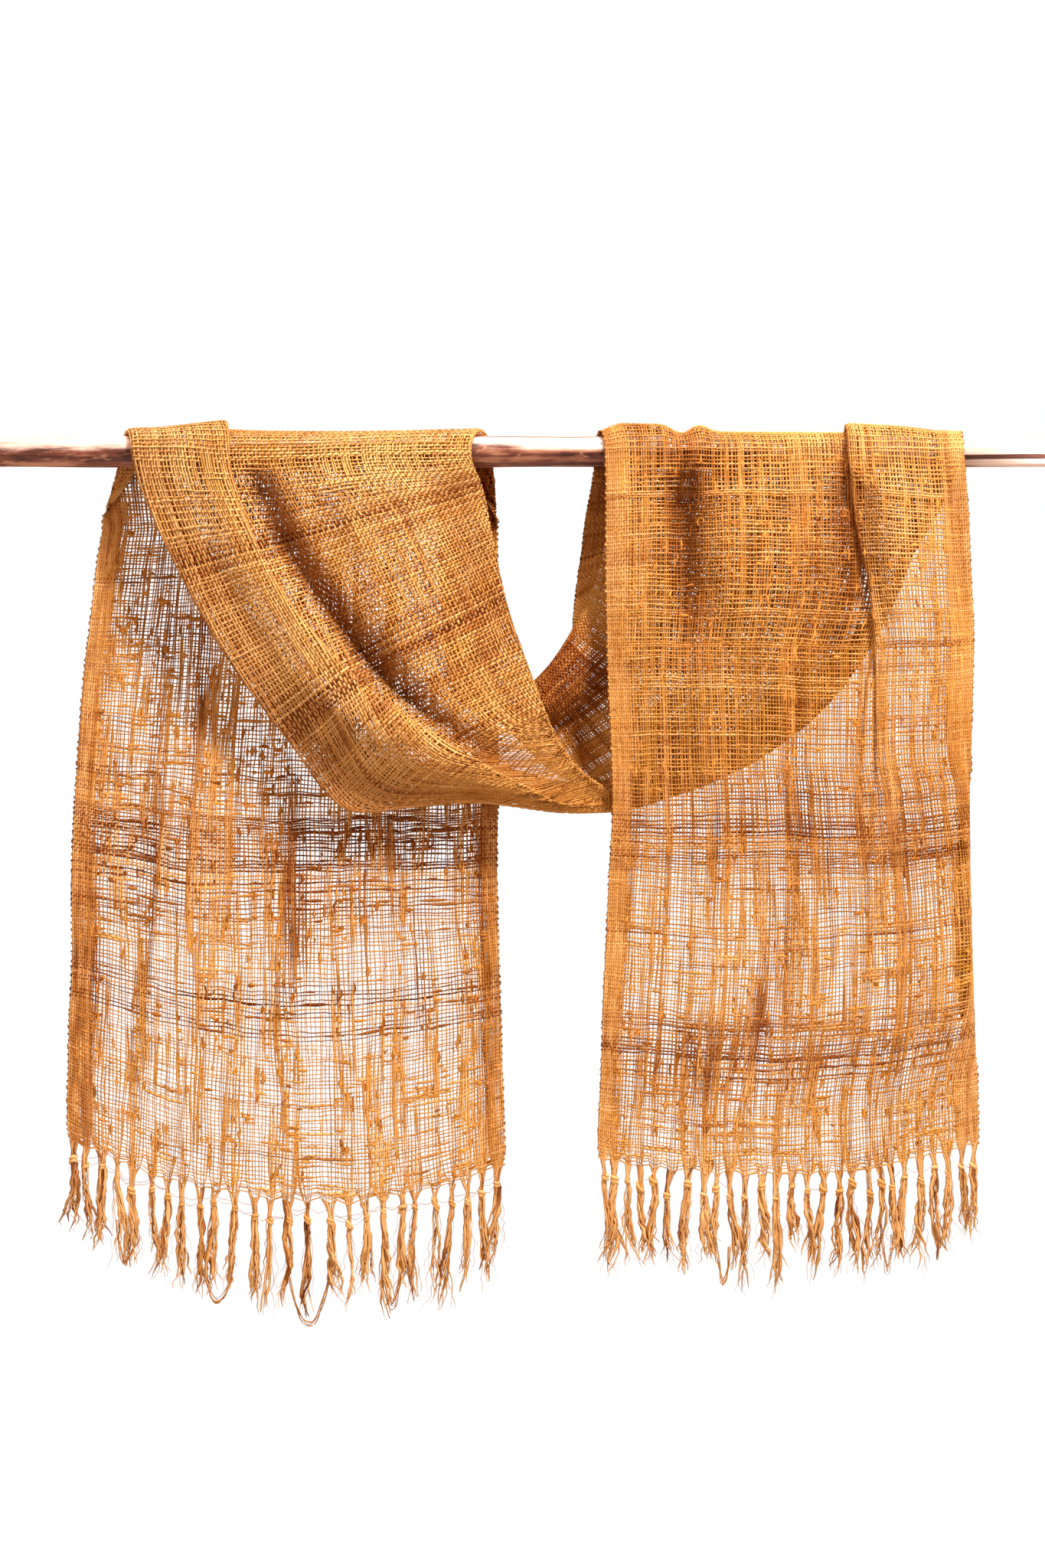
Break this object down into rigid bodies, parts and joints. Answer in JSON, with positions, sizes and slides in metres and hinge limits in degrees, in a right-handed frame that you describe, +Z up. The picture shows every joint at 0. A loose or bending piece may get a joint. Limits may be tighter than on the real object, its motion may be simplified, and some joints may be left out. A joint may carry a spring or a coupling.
{
  "type": "silk scarf and rod",
  "caption": "Open-weave silk scarf with knotted fringes, hung over a round rod as two tails with a folded swag between them.",
  "frame": {"origin": "on the rod's axis at the middle of its length, where the rod is held", "axes": "+X along the rod to the right as seen from the front, +Y away from the viewer, +Z up"},
  "size_m": [0.9, 0.0477, 0.7136],
  "materials": {
    "silk": "loose handwoven raw silk, slubby and softly lit",
    "wood": "bare brown wood with fine grain, faintly polished"
  },
  "bodies": {
    "root": {"rod": "wood", "tail_left": "silk", "over_left": "silk", "swag_front": "silk", "swag_back": "silk", "over_right": "silk", "tail_right": "silk", "fringe_left": "silk", "fringe_right": "silk"}
  },
  "joints": []
}
